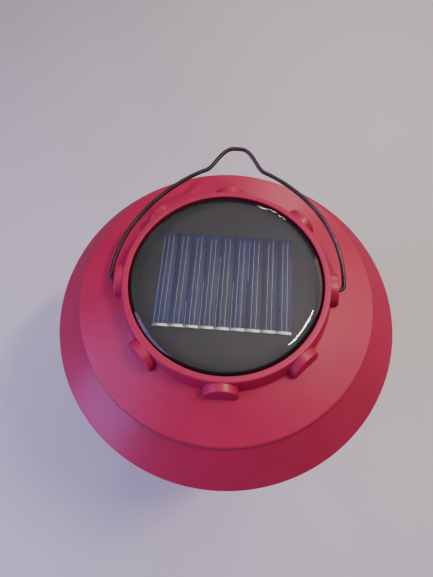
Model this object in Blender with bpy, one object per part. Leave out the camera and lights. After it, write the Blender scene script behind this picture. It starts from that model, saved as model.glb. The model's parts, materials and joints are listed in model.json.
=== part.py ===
"""Solar lantern: a two-tier moulded hood that carries a round solar panel and a wire bail,
an opal globe under it, and a small stepped base.

Metres, +Z up. The lantern stands on z = 0 with its vertical axis on x = y = 0, and its front is -Y.
Every sub-part is one closed body in its own object. The bail turns about the X line through the two
side bosses, and the power button slides along Z.
"""
import math

import bmesh
import bpy
from mathutils import Matrix, Vector

# ---------------------------------------------------------------- driving dimensions (metres)
GAP = 0.0003                    # clearance left between touching pieces
HOOD_SEGMENTS = 48              # facets round the hood and the panel board
ROUND_SEGMENTS = 36             # facets round the globe, the base and the other wide pieces
SMALL_SEGMENTS = 10             # facets round screws and posts

COLLAR_TOP = 0.2200             # top face of the collar above the floor
OPENING_RADIUS = 0.0493         # panel opening in the collar
COLLAR_RADIUS = 0.0525          # outer edge of the collar's top face
COLLAR_FOOT_RADIUS = 0.0545
COLLAR_HEIGHT = 0.0110
STEP_RADIUS = 0.0792            # edge between the two tiers
STEP_DEPTH = 0.0190             # below the collar's top face
STEP_DROP = 0.0038
RIM_RADIUS = 0.0980
RIM_DEPTH = 0.0443
RIM_LIP = 0.0017
WALL = 0.0024
DECK_DEPTH = 0.0062             # top of the deck that carries the panel

BOSS_COUNT = 8
BOSS_RADIUS = 0.0084
BOSS_END = 0.0576               # middle of the flat end faces, measured from the lantern's axis
BOSS_DRAFT = 0.137              # slope of the end faces, which lean outward towards the foot
BOSS_CHAMFER = 0.0006
BOSS_LOWEST = -0.0043           # flat underside of a boss, from its centre, kept inside the collar's wall
PIVOT_Z = COLLAR_TOP - 0.0088   # centre height of the bosses and the bail's axis

WIRE_RADIUS = 0.0011
BAIL_RADIUS = 0.0606            # centreline of the bail's arc about its pivot line
BAIL_TILT = math.radians(15)    # rest pose, above lying flat towards the back
BAIL_END = 0.0523               # how far out the wire's ends start, inside the bosses
BAIL_BEND = 0.0025
BAIL_LEAN = 0.00145             # the arc stands out this much more on the right than on the left
ARCH_HEIGHT = 0.0050            # the arc rises to a soft point in the middle
ARCH_WIDTH = math.radians(26.5)
BUMP_HEIGHT = 0.0097
BUMP_CENTRE = math.radians(2.2)
BUMP_LEFT = (math.radians(1.5), math.radians(14.5))    # flat half-width, foot
BUMP_RIGHT = (math.radians(2.0), math.radians(14.0))

STRIP_COUNT = 9
STRIP_PITCH = 0.00746
STRIP_WIDTH = 0.0072
STRIP_LENGTH = 0.0520
STRIP_THICKNESS = 0.00025
CELL_CENTRE = (-0.0005, -0.0010)
CELL_TURN = math.radians(-1.45)         # the strips are laid slightly askew on the board
TAB_LENGTH = 0.0020
TAB_THICKNESS = 0.0002

COVER_EDGE_RADIUS = 0.0912
COVER_EDGE_Z = COLLAR_TOP - 0.0420
COVER_INNER_RADIUS = 0.0520
COVER_INNER_Z = COLLAR_TOP - 0.0382
COVER_THICKNESS = 0.0022
SOCKET_RADIUS = 0.0469          # inside of the collar that holds the globe
SOCKET_WALL = 0.0024
WINDOW_HOLE_RADIUS = 0.0220
SEAT_RING_RADIUS = 0.0269       # ring that holds the window and the LED board

GLOBE_NECK_RADIUS = 0.0460
GLOBE_MIDDLE_RADIUS = 0.0580
GLOBE_WALL = 0.0022
GLOBE_TOP = COLLAR_TOP - 0.0402
GLOBE_BOTTOM = 0.0240
GLOBE_BULGE = (0.0480, 0.1680)  # heights between which the globe swells

BASE_RADIUS = 0.0680
BASE_BOTTOM = 0.0030
BASE_TOP = 0.0420
LEDGE_Z = 0.0200
FLOOR_Z = 0.0020
FOOT_RADIUS = 0.0070
FOOT_CIRCLE = 0.0540

SCREW_RADIUS = 0.0015
SCREW_HOLE_RADIUS = 0.0019
SCREW_HEAD_RADIUS = 0.0030
COVER_SCREW_CIRCLE = 0.0680
BASE_SCREW_CIRCLE = 0.0430
POST_RADIUS = 0.0040

BATTERY_RADIUS = 0.0092
BATTERY_LENGTH = 0.0650
BATTERY_Y = -0.0420
BATTERY_Z = COLLAR_TOP - 0.0250
BUTTON_Y = -0.0720
BUTTON_RADIUS = 0.0050
BUTTON_HOLE_RADIUS = 0.0054
BUTTON_FLANGE_RADIUS = 0.0062
SWITCH_HALF_WIDTH = 0.0062
LED_COUNT = 6
LED_CIRCLE = 0.0130

CRIMSON = (0.42, 0.025, 0.075)
WHITE = (0.80, 0.80, 0.78)
BLACK = (0.012, 0.012, 0.014)


# ---------------------------------------------------------------- helpers
def clear_scene():
    for old in list(bpy.data.objects):
        bpy.data.objects.remove(old, do_unlink=True)


def material(name, colour, roughness, metallic=0.0, transmission=0.0):
    """A Principled material, made once for each name."""
    made = bpy.data.materials.get(name)
    if made is None:
        made = bpy.data.materials.new(name)
        made.use_nodes = True
        shader = made.node_tree.nodes["Principled BSDF"]
        shader.inputs["Base Color"].default_value = (*colour, 1.0)
        shader.inputs["Roughness"].default_value = roughness
        shader.inputs["Metallic"].default_value = metallic
        shader.inputs["Transmission Weight"].default_value = transmission
    return made


def add_object(name, mesh, finish, location=(0, 0, 0), rotation=(0, 0, 0), parent=None):
    made = bpy.data.objects.new(name, mesh)
    bpy.context.scene.collection.objects.link(made)
    if not mesh.materials:
        mesh.materials.append(finish)
    made.location = location
    made.rotation_euler = rotation
    made.parent = parent
    return made


def mesh_from(bm, name):
    """Closes off a bmesh: outward faces, smooth shading with sharp edges kept."""
    bmesh.ops.recalc_face_normals(bm, faces=bm.faces)
    mesh = bpy.data.meshes.new(name)
    bm.to_mesh(mesh)
    bm.free()
    mesh.shade_smooth()
    mesh.set_sharp_from_angle(angle=math.radians(35))
    return mesh


def rounded(corners, steps=1):
    """An outline whose corners (r, z, radius) are rounded by arcs of that radius."""
    points = []
    for index, (r, z, radius) in enumerate(corners):
        corner = Vector((r, z))
        if radius == 0:
            points.append(corner)
            continue
        before = Vector(corners[index - 1][:2]) - corner
        after = Vector(corners[(index + 1) % len(corners)][:2]) - corner
        half = before.angle(after) / 2
        reach = radius / math.tan(half)
        start = corner + before.normalized() * reach
        end = corner + after.normalized() * reach
        centre = corner + (before.normalized() + after.normalized()).normalized() * radius / math.sin(half)
        first = start - centre
        sweep = first.angle_signed(end - centre)
        for step in range(steps + 1):
            turn = Matrix.Rotation(-sweep * step / steps, 2)
            points.append(centre + turn @ first)
    return [(point.x, point.y) for point in points]


def turned_mesh(name, outline, segments=HOOD_SEGMENTS):
    """A solid of revolution about Z; a point on the axis becomes a single vertex."""
    bm = bmesh.new()
    rings = []
    for radius, z in outline:
        if radius < 1e-7:
            rings.append([bm.verts.new((0, 0, z))])
            continue
        angles = [2 * math.pi * k / segments for k in range(segments)]
        rings.append([bm.verts.new((radius * math.cos(a), radius * math.sin(a), z)) for a in angles])
    for ring, following in zip(rings, rings[1:] + rings[:1]):
        if len(ring) == 1 and len(following) == 1:
            continue
        for k in range(segments):
            n = (k + 1) % segments
            if len(ring) == 1:
                bm.faces.new((ring[0], following[n], following[k]))
            elif len(following) == 1:
                bm.faces.new((ring[k], ring[n], following[0]))
            else:
                bm.faces.new((ring[k], ring[n], following[n], following[k]))
    return mesh_from(bm, name)


def cylinder_mesh(name, radius, bottom, top, segments=SMALL_SEGMENTS):
    return turned_mesh(name, [(0, bottom), (radius, bottom), (radius, top), (0, top)], segments)


def box_mesh(name, low, high):
    bm = bmesh.new()
    size = Vector(high) - Vector(low)
    middle = (Vector(high) + Vector(low)) / 2
    place = Matrix.Translation(middle) @ Matrix.Diagonal((*size, 1))
    bmesh.ops.create_cube(bm, size=1, matrix=place)
    return mesh_from(bm, name)


def tube_mesh(name, path, radius, sides):
    """A round tube with flat ends along a smooth path of points."""
    bm = bmesh.new()
    points = [Vector(point) for point in path]
    tangents = [(b - a).normalized() for a, b in zip(points, points[1:])]
    directions = [tangents[0]]
    directions += [(a + b).normalized() for a, b in zip(tangents, tangents[1:])]
    directions.append(tangents[-1])
    side = directions[0].orthogonal().normalized()
    rings = []
    for point, direction in zip(points, directions):
        side = (side - direction * side.dot(direction)).normalized()
        other = direction.cross(side)
        ring = []
        for k in range(sides):
            turn = 2 * math.pi * k / sides
            ring.append(bm.verts.new(point + radius * (side * math.cos(turn) + other * math.sin(turn))))
        rings.append(ring)
    for ring, following in zip(rings, rings[1:]):
        for k in range(sides):
            n = (k + 1) % sides
            bm.faces.new((ring[k], ring[n], following[n], following[k]))
    bm.faces.new(rings[0])
    bm.faces.new(rings[-1])
    return mesh_from(bm, name)


def smooth_path(knots, per_span=3):
    """Points on a Catmull-Rom curve through the knots."""
    knots = [Vector(knot) for knot in knots]
    padded = [2 * knots[0] - knots[1]] + knots + [2 * knots[-1] - knots[-2]]
    points = []
    for a, b, c, d in zip(padded, padded[1:], padded[2:], padded[3:]):
        for step in range(per_span):
            t = step / per_span
            points.append(0.5 * (2 * b + (c - a) * t + (2 * a - 5 * b + 4 * c - d) * t * t
                                 + (3 * b - a - 3 * c + d) * t ** 3))
    return points + [knots[-1]]


def combine(body, tools, operation):
    """Joins or cuts a body with tool objects, keeps the result as its mesh, removes the tools."""
    for tool in tools:
        step = body.modifiers.new(operation, "BOOLEAN")
        step.operation = operation
        step.solver = "EXACT"
        step.object = tool
    bpy.context.view_layer.update()
    evaluated = body.evaluated_get(bpy.context.evaluated_depsgraph_get())
    result = bpy.data.meshes.new_from_object(evaluated)
    body.modifiers.clear()
    body.data = result
    for tool in tools:
        bpy.data.objects.remove(tool, do_unlink=True)
    result.shade_smooth()
    result.set_sharp_from_angle(angle=math.radians(35))


def round_tool(position, radius, bottom, top, segments=SMALL_SEGMENTS):
    """A vertical cylinder used to join or cut, at an (x, y) position."""
    mesh = cylinder_mesh("tool", radius, bottom, top, segments)
    return add_object("tool", mesh, None, (position[0], position[1], 0))


def counterbore_tool(position, bottom, shoulder, top):
    """A screw hole with a wider mouth below for the head."""
    mouth = SCREW_HEAD_RADIUS + 0.0005
    outline = [(0, bottom), (mouth, bottom), (mouth, shoulder), (SCREW_HOLE_RADIUS, shoulder),
               (SCREW_HOLE_RADIUS, top), (0, top)]
    return add_object("tool", turned_mesh("tool", outline, 16), None, (position[0], position[1], 0))


def on_circle(radius, degrees):
    return radius * math.cos(math.radians(degrees)), radius * math.sin(math.radians(degrees))


# ---------------------------------------------------------------- hood
def upper_tier_z(radius):
    """Height of the upper tier's outer surface at a radius."""
    share = (radius - COLLAR_FOOT_RADIUS) / (STEP_RADIUS - COLLAR_FOOT_RADIUS)
    return COLLAR_TOP - COLLAR_HEIGHT - share * (STEP_DEPTH - COLLAR_HEIGHT)


def cover_z(radius):
    """Height of the underside cover's lower surface at a radius."""
    share = (radius - COVER_INNER_RADIUS) / (COVER_EDGE_RADIUS - COVER_INNER_RADIUS)
    return COVER_INNER_Z + max(0.0, share) * (COVER_EDGE_Z - COVER_INNER_Z)


def hood_outline():
    top = COLLAR_TOP
    drop_foot = top - STEP_DEPTH - STEP_DROP
    rim_top = top - RIM_DEPTH
    slope = WALL * 1.05         # wall measured straight down through the shallow upper tier
    return rounded([
        (0, top - DECK_DEPTH, 0),
        (OPENING_RADIUS, top - DECK_DEPTH, 0),
        (OPENING_RADIUS, top, 0.0005),
        (COLLAR_RADIUS, top, 0.0009),
        (COLLAR_FOOT_RADIUS, top - COLLAR_HEIGHT, 0.0010),
        (STEP_RADIUS, top - STEP_DEPTH, 0.0014),
        (STEP_RADIUS + 0.0006, drop_foot, 0.0008),
        (RIM_RADIUS, rim_top, 0.0010),
        (RIM_RADIUS, rim_top - RIM_LIP, 0.0005),
        (RIM_RADIUS - WALL, rim_top - RIM_LIP, 0),
        (STEP_RADIUS - 0.0016, drop_foot - 0.0012, 0),
        (STEP_RADIUS - 0.0022, upper_tier_z(STEP_RADIUS - 0.0022) - slope, 0),
        (COLLAR_FOOT_RADIUS - 0.0020, upper_tier_z(COLLAR_FOOT_RADIUS - 0.0020) - slope, 0),
        (OPENING_RADIUS + 0.0004, top - COLLAR_HEIGHT - 0.0014, 0),
        (OPENING_RADIUS - 0.0006, top - DECK_DEPTH - WALL, 0),
        (0, top - DECK_DEPTH - WALL, 0),
    ], steps=2)


def boss_tool(index):
    """A radial cylinder with a drafted, chamfered outer end, cut flat below so that it stays in the wall."""
    bm = bmesh.new()
    sides = 20
    stations = [(OPENING_RADIUS + 0.0012, BOSS_RADIUS, 0), (BOSS_END - BOSS_CHAMFER, BOSS_RADIUS, BOSS_DRAFT),
                (BOSS_END, BOSS_RADIUS - BOSS_CHAMFER, BOSS_DRAFT)]
    rings = []
    for reach, radius, draft in stations:
        ring = []
        for k in range(sides):
            turn = 2 * math.pi * (k + 0.5) / sides
            height = max(radius * math.sin(turn), BOSS_LOWEST)
            width = radius * math.cos(turn)
            ring.append(bm.verts.new((reach - height * draft, width, height)))
        rings.append(ring)
    for ring, following in zip(rings, rings[1:]):
        for k in range(sides):
            n = (k + 1) % sides
            bm.faces.new((ring[k], ring[n], following[n], following[k]))
    bm.faces.new(rings[0])
    bm.faces.new(rings[-1])
    mesh = mesh_from(bm, "tool")
    turn = 2 * math.pi * index / BOSS_COUNT
    return add_object("tool", mesh, None, (0, 0, PIVOT_Z), (0, 0, turn))


def bail_hole_tool(side):
    """The blind hole in a side boss that takes one end of the bail."""
    mesh = cylinder_mesh("tool", WIRE_RADIUS + 0.00035, BAIL_END - 0.0007, BOSS_END + 0.002)
    return add_object("tool", mesh, None, (0, 0, PIVOT_Z), (0, side * math.pi / 2, 0))


def make_hood():
    crimson = material("crimson_plastic", CRIMSON, 0.42)
    hood = add_object("hood_shell", turned_mesh("hood_shell", hood_outline()), crimson)
    post_top = upper_tier_z(COVER_SCREW_CIRCLE + POST_RADIUS) - 0.0006
    post_bottom = cover_z(COVER_SCREW_CIRCLE - POST_RADIUS) + COVER_THICKNESS + GAP
    places = [on_circle(COVER_SCREW_CIRCLE, degrees) for degrees in (90, 210, 330)]
    joined = [boss_tool(index) for index in range(BOSS_COUNT)]
    joined += [round_tool(place, POST_RADIUS, post_bottom, post_top) for place in places]
    combine(hood, joined, "UNION")
    cut = [bail_hole_tool(side) for side in (-1, 1)]
    cut += [round_tool(place, SCREW_HOLE_RADIUS, post_bottom - 0.001, post_top - 0.004) for place in places]
    cut.append(round_tool((0.006, 0), 0.0025, COLLAR_TOP - 0.010, COLLAR_TOP - 0.005))
    combine(hood, cut, "DIFFERENCE")


# ---------------------------------------------------------------- solar panel
def make_panel():
    top = COLLAR_TOP
    board_top = top - 0.0034
    foam = material("foam_tape", (0.05, 0.05, 0.05), 0.9)
    ring = [(0.0300, top - 0.0059), (0.0455, top - 0.0059), (0.0455, top - 0.0051), (0.0300, top - 0.0051)]
    add_object("panel_adhesive", turned_mesh("panel_adhesive", ring, ROUND_SEGMENTS), foam)
    board = cylinder_mesh("panel_board", 0.0478, board_top - 0.0014, board_top, HOOD_SEGMENTS)
    add_object("panel_board", board, material("panel_black", BLACK, 0.35))
    make_cells(board_top + GAP)
    resin_edge = 0.0484
    under = board_top + GAP
    crown = rounded([
        (0, top - 0.0020, 0),
        (0.0440, top - 0.0020, 0),
        (0.0450, under, 0),
        (resin_edge, under, 0.0004),
        (resin_edge, top - 0.0003, 0.0014),
        (0.0380, top + 0.0009, 0.0250),
        (0, top + 0.0014, 0),
    ], steps=3)
    resin = material("clear_resin", (0.95, 0.96, 0.97), 0.05, transmission=0.9)
    add_object("panel_resin", turned_mesh("panel_resin", crown, ROUND_SEGMENTS), resin)


def make_cells(bottom):
    """A row of strips, each with a soldered tab at its front end."""
    silicon = material("silicon", (0.03, 0.04, 0.08), 0.3)
    silver = material("tinned_tab", (0.75, 0.75, 0.73), 0.35, 0.9)
    half = Vector((STRIP_WIDTH / 2, STRIP_LENGTH / 2, 0))
    strip = box_mesh("solar_strip", -half, half + Vector((0, 0, STRIP_THICKNESS)))
    tab = box_mesh("cell_tab", (-half.x, 0, 0), (half.x, TAB_LENGTH, TAB_THICKNESS))
    middle = Vector((*CELL_CENTRE, bottom))
    askew = Matrix.Rotation(CELL_TURN, 3, "Z")
    for number in range(1, STRIP_COUNT + 1):
        across = Vector(((number - (STRIP_COUNT + 1) / 2) * STRIP_PITCH, 0, 0))
        end = across + Vector((0, GAP - half.y, STRIP_THICKNESS + GAP))
        add_object(f"solar_strip_{number}", strip, silicon, middle + askew @ across, (0, 0, CELL_TURN))
        add_object(f"cell_tab_{number}", tab, silver, middle + askew @ end, (0, 0, CELL_TURN))


# ---------------------------------------------------------------- bail
def bail_reach(angle):
    """Distance of the wire from the middle of the pivot line, at an angle from the bail's middle."""
    offset = angle - BUMP_CENTRE
    flat, foot = BUMP_RIGHT if offset > 0 else BUMP_LEFT
    share = min(max((abs(offset) - flat) / (foot - flat), 0.0), 1.0)
    bump = BUMP_HEIGHT * 0.5 * (1 + math.cos(math.pi * share))
    arch = ARCH_HEIGHT * math.exp(-(angle / ARCH_WIDTH) ** 2)
    return BAIL_RADIUS + BAIL_LEAN * math.sin(2 * angle) + arch + bump


def bail_bend(out):
    """The bend at the foot of an arm, and the straight end that goes into the boss."""
    corner = out - BAIL_BEND
    bend = []
    for step in range(1, 5):
        turn = math.pi / 2 * step / 4
        bend.append((corner + BAIL_BEND * math.cos(turn), BAIL_BEND - BAIL_BEND * math.sin(turn), 0))
    return bend + [(BAIL_END, 0, 0)]


def bail_path():
    """Centreline in the bail's own plane: x along the pivot line, y away from it."""
    half = []
    start = math.asin(BAIL_BEND / BAIL_RADIUS)
    steps = 32
    for step in range(2 * steps + 1):
        angle = (step / steps - 1) * (math.pi / 2 - start)
        reach = bail_reach(angle)
        half.append((reach * math.sin(angle), reach * math.cos(angle), 0))
    right_end = bail_bend(half[-1][0])
    left_end = [(-x, y, z) for x, y, z in reversed(bail_bend(-half[0][0]))]
    return left_end + half + right_end


def make_bail():
    pivot = bpy.data.objects.new("bail_pivot", None)
    bpy.context.scene.collection.objects.link(pivot)
    pivot.location = (0, 0, PIVOT_Z)
    pivot.rotation_euler = (BAIL_TILT, 0, 0)
    steel = material("dark_steel_wire", (0.035, 0.028, 0.026), 0.35, 0.8)
    add_object("bail", tube_mesh("bail", bail_path(), WIRE_RADIUS, 8), steel, parent=pivot)


# ---------------------------------------------------------------- underside of the hood
def cover_outline():
    inner_top = COVER_INNER_Z + COVER_THICKNESS
    socket_bottom = COVER_INNER_Z - 0.0118
    socket_outer = SOCKET_RADIUS + SOCKET_WALL
    ring_top = inner_top + 0.0070
    return rounded([
        (WINDOW_HOLE_RADIUS, inner_top, 0),
        (WINDOW_HOLE_RADIUS, COVER_INNER_Z, 0),
        (SOCKET_RADIUS, COVER_INNER_Z, 0),
        (SOCKET_RADIUS, socket_bottom, 0.0004),
        (socket_outer, socket_bottom, 0.0008),
        (socket_outer, COVER_INNER_Z, 0.0008),
        (COVER_EDGE_RADIUS, COVER_EDGE_Z, 0),
        (COVER_EDGE_RADIUS - 0.0018, COVER_EDGE_Z + COVER_THICKNESS, 0),
        (COVER_INNER_RADIUS, inner_top, 0),
        (SEAT_RING_RADIUS + 0.0016, inner_top, 0),
        (SEAT_RING_RADIUS + 0.0016, ring_top, 0),
        (SEAT_RING_RADIUS, ring_top, 0),
        (SEAT_RING_RADIUS, inner_top, 0),
    ])


def make_underside_cover():
    white = material("white_plastic", WHITE, 0.35)
    mesh = turned_mesh("underside_cover", cover_outline(), ROUND_SEGMENTS)
    cover = add_object("underside_cover", mesh, white)
    board_rest = COLLAR_TOP - 0.0315 - GAP
    posts = [(x, y) for x in (-0.026, 0.026) for y in (0.035, 0.051)]
    joined = [round_tool(post, 0.0025, COVER_INNER_Z + 0.0008, board_rest) for post in posts]
    for side in (-1, 1):
        inner, outer = sorted(side * (SWITCH_HALF_WIDTH + offset) for offset in (GAP, 0.0015))
        low = (inner, BUTTON_Y - 0.0045, cover_z(-BUTTON_Y) + 0.0008)
        high = (outer, BUTTON_Y + 0.0045, COLLAR_TOP - 0.0290)
        joined.append(add_object("tool", box_mesh("tool", low, high), None))
    combine(cover, joined, "UNION")
    places = [on_circle(COVER_SCREW_CIRCLE, degrees) for degrees in (90, 210, 330)]
    cut = [round_tool(place, SCREW_HOLE_RADIUS, COVER_EDGE_Z - 0.002, COVER_INNER_Z + 0.003)
           for place in places]
    cut.append(round_tool((0, BUTTON_Y), BUTTON_HOLE_RADIUS, COVER_EDGE_Z - 0.002, COVER_INNER_Z + 0.002, 20))
    combine(cover, cut, "DIFFERENCE")
    for number, place in enumerate(places, 1):
        head_top = cover_z(COVER_SCREW_CIRCLE + SCREW_HEAD_RADIUS) - GAP
        make_screw(f"cover_screw_{number}", place, head_top, 0.0130)


def make_screw(name, place, head_top, length):
    """A pan-head screw driven upwards, with a cross slot left as a plain dimple."""
    outline = [
        (0, head_top - 0.0012), (0.0011, head_top - 0.0013), (0.0013, head_top - 0.0018),
        (0.0024, head_top - 0.0016), (SCREW_HEAD_RADIUS, head_top - 0.0009), (SCREW_HEAD_RADIUS, head_top),
        (SCREW_RADIUS, head_top), (SCREW_RADIUS, head_top + length - 0.0015), (0.0004, head_top + length),
        (0, head_top + length),
    ]
    steel = material("screw_steel", (0.55, 0.55, 0.56), 0.3, 1.0)
    add_object(name, turned_mesh(name, outline, SMALL_SEGMENTS), steel, (place[0], place[1], 0))


def make_button():
    surface = cover_z(-BUTTON_Y)
    flange = surface + COVER_THICKNESS + 0.0011
    outline = rounded([
        (0, surface - 0.0026, 0),
        (BUTTON_RADIUS, surface - 0.0022, 0.0008),
        (BUTTON_RADIUS, flange, 0),
        (BUTTON_FLANGE_RADIUS, flange, 0),
        (BUTTON_FLANGE_RADIUS, flange + 0.0010, 0),
        (0.0018, flange + 0.0010, 0),
        (0.0018, COLLAR_TOP - 0.0330, 0),
        (0, COLLAR_TOP - 0.0330, 0),
    ])
    black = material("black_rubber", (0.02, 0.02, 0.022), 0.6)
    add_object("power_button", turned_mesh("power_button", outline, 20), black, (0, BUTTON_Y, 0))
    low = (-SWITCH_HALF_WIDTH, BUTTON_Y - SWITCH_HALF_WIDTH, COLLAR_TOP - 0.0340)
    high = (SWITCH_HALF_WIDTH, BUTTON_Y + SWITCH_HALF_WIDTH, COLLAR_TOP - 0.0262)
    body = add_object("push_switch", box_mesh("push_switch", low, high), material("switch_black", BLACK, 0.4))
    combine(body, [round_tool((0, BUTTON_Y), 0.0022, low[2] - 0.001, low[2] + 0.0040)], "DIFFERENCE")


# ---------------------------------------------------------------- light and electronics
def make_light():
    plate_top = COVER_INNER_Z + COVER_THICKNESS
    window = cylinder_mesh("light_window", 0.0262, plate_top + GAP, plate_top + GAP + 0.0014, ROUND_SEGMENTS)
    add_object("light_window", window, material("clear_plastic", (0.9, 0.92, 0.93), 0.1, transmission=0.8))
    board_bottom = COLLAR_TOP - 0.0321
    board = cylinder_mesh("led_board", 0.0264, board_bottom, board_bottom + 0.0016, ROUND_SEGMENTS)
    add_object("led_board", board, material("white_board", WHITE, 0.45))
    led = box_mesh("led", (-0.0017, -0.0017, 0), (0.0017, 0.0017, 0.0010))
    phosphor = material("led_phosphor", (0.85, 0.70, 0.20), 0.35)
    for number in range(1, LED_COUNT + 1):
        angle = 360 / LED_COUNT * (number - 1)
        x, y = on_circle(LED_CIRCLE, angle)
        place = (x, y, board_bottom - GAP - 0.0010)
        add_object(f"led_{number}", led, phosphor, place, (0, 0, math.radians(angle)))


def make_control_board():
    bottom = COLLAR_TOP - 0.0315
    board_top = bottom + 0.0016
    board = box_mesh("control_board", (-0.0300, 0.0310, bottom), (0.0300, 0.0550, board_top))
    add_object("control_board", board, material("green_board", (0.01, 0.14, 0.06), 0.4))
    chip = box_mesh("charge_chip", (-0.0150, 0.0400, board_top + GAP), (-0.0090, 0.0450, board_top + 0.0019))
    add_object("charge_chip", chip, material("chip_black", BLACK, 0.5))
    coil = cylinder_mesh("inductor", 0.0040, board_top + GAP, board_top + 0.0048, 16)
    add_object("inductor", coil, material("ferrite", (0.06, 0.06, 0.065), 0.55), (0.002, 0.0470, 0))


def make_battery():
    half = BATTERY_LENGTH / 2
    low_z = BATTERY_Z - BATTERY_RADIUS - GAP
    inner_y = BATTERY_RADIUS + GAP
    inner_x = half + 0.0022
    wall = 0.0014
    outer_low = (-inner_x - wall, BATTERY_Y - inner_y - wall, low_z - 0.0012)
    outer_high = (inner_x + wall, BATTERY_Y + inner_y + wall, BATTERY_Z + 0.0040)
    cradle = add_object("battery_cradle", box_mesh("battery_cradle", outer_low, outer_high),
                        material("black_plastic", BLACK, 0.5))
    hollow_low = (-inner_x, BATTERY_Y - inner_y, low_z)
    hollow_high = (inner_x, BATTERY_Y + inner_y, BATTERY_Z + 0.0060)
    grip_low = (-half * 0.6, BATTERY_Y - 0.0200, BATTERY_Z - 0.0040)
    grip_high = (half * 0.6, BATTERY_Y + 0.0200, BATTERY_Z + 0.0060)
    cut = [add_object("tool", box_mesh("tool", *pair), None)
           for pair in ((hollow_low, hollow_high), (grip_low, grip_high))]
    combine(cradle, cut, "DIFFERENCE")

    outline = rounded([
        (0, -half, 0), (BATTERY_RADIUS, -half, 0.0008), (BATTERY_RADIUS, half - 0.0022, 0.0008),
        (0.0032, half - 0.0022, 0), (0.0032, half - 0.0007, 0.0004), (0, half - 0.0007, 0),
    ])
    sleeve = material("battery_sleeve", (0.02, 0.10, 0.35), 0.35)
    add_object("battery_cell", turned_mesh("battery_cell", outline, 20), sleeve,
               (0, BATTERY_Y, BATTERY_Z), (0, math.pi / 2, 0))
    spring = material("contact_metal", (0.6, 0.58, 0.52), 0.3, 1.0)
    for sign, label in ((1, "positive"), (-1, "negative")):
        inner, outer = sorted((sign * (half + GAP), sign * (inner_x - GAP)))
        plate = box_mesh(f"battery_contact_{label}", (inner, BATTERY_Y - 0.0050, low_z + GAP),
                         (outer, BATTERY_Y + 0.0050, BATTERY_Z + 0.0035))
        add_object(f"battery_contact_{label}", plate, spring)


def make_leads():
    """Twin leads held between the electronics; heights are below the collar's top face."""
    routes = {
        "panel_lead": [(0.006, 0, -0.0052), (0.006, 0, -0.011), (0.007, 0.008, -0.017),
                       (0.009, 0.024, -0.020), (0.012, 0.036, -0.022), (0.012, 0.0385, -0.0292)],
        "battery_lead": [(0.0375, -0.042, -0.0255), (0.043, -0.038, -0.026), (0.047, -0.020, -0.029),
                         (0.047, 0.005, -0.030), (0.043, 0.026, -0.027), (0.034, 0.038, -0.024),
                         (0.027, 0.040, -0.0255), (0.026, 0.0405, -0.0292)],
        "switch_lead": [(0, -0.072, -0.0258), (-0.004, -0.073, -0.0235), (-0.020, -0.072, -0.024),
                        (-0.038, -0.064, -0.026), (-0.048, -0.050, -0.028), (-0.0495, -0.030, -0.030),
                        (-0.048, 0.000, -0.030), (-0.043, 0.026, -0.027), (-0.034, 0.038, -0.024),
                        (-0.027, 0.040, -0.0255), (-0.026, 0.0405, -0.0292)],
        "led_lead": [(0, 0.020, -0.0301), (0, 0.0215, -0.027), (0, 0.027, -0.0245), (0, 0.033, -0.026),
                     (0, 0.0350, -0.0292)],
    }
    sleeve = material("lead_sleeve", (0.5, 0.02, 0.02), 0.5)
    for name, knots in routes.items():
        placed = [(x, y, COLLAR_TOP + z) for x, y, z in knots]
        add_object(name, tube_mesh(name, smooth_path(placed), 0.0007, 6), sleeve)


# ---------------------------------------------------------------- globe and base
def globe_outline():
    low, high = GLOBE_BULGE
    half = (high - low) / 2
    rise = GLOBE_MIDDLE_RADIUS - GLOBE_NECK_RADIUS
    curve = (half ** 2 + rise ** 2) / (2 * rise)
    limit = math.asin(half / curve)
    centre_r = GLOBE_MIDDLE_RADIUS - curve
    centre_z = (low + high) / 2
    steps = 8

    def side(radius):
        angles = [limit * (step / steps * 2 - 1) for step in range(steps + 1)]
        return [(centre_r + radius * math.cos(a), centre_z + radius * math.sin(a)) for a in angles]

    inner_neck = GLOBE_NECK_RADIUS - GLOBE_WALL
    outside = [(0, GLOBE_BOTTOM), (GLOBE_NECK_RADIUS - 0.004, GLOBE_BOTTOM),
               (GLOBE_NECK_RADIUS - 0.0012, GLOBE_BOTTOM + 0.0012),
               (GLOBE_NECK_RADIUS, GLOBE_BOTTOM + 0.004)]
    outside += side(curve) + [(GLOBE_NECK_RADIUS, GLOBE_TOP)]
    inside = [(inner_neck, GLOBE_TOP)] + list(reversed(side(curve - GLOBE_WALL)))
    inside += [(inner_neck, GLOBE_BOTTOM + 0.006), (inner_neck - 0.004, GLOBE_BOTTOM + GLOBE_WALL),
               (0, GLOBE_BOTTOM + GLOBE_WALL)]
    return outside + inside


def make_globe():
    opal = material("opal_plastic", (0.92, 0.92, 0.90), 0.3, transmission=0.3)
    add_object("globe", turned_mesh("globe", globe_outline(), ROUND_SEGMENTS), opal)
    rubber = material("seal_rubber", (0.70, 0.70, 0.68), 0.7)
    inner, outer = GLOBE_NECK_RADIUS - 0.0030, GLOBE_NECK_RADIUS + 0.0003
    levels = {"globe_seal_top": (GLOBE_TOP + GAP, COVER_INNER_Z - GAP),
              "globe_seal_bottom": (LEDGE_Z + 0.0020 + GAP, GLOBE_BOTTOM - GAP)}
    for name, (low, high) in levels.items():
        ring = [(inner, low), (outer, low), (outer, high), (inner, high)]
        add_object(name, turned_mesh(name, ring, ROUND_SEGMENTS), rubber)


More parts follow.
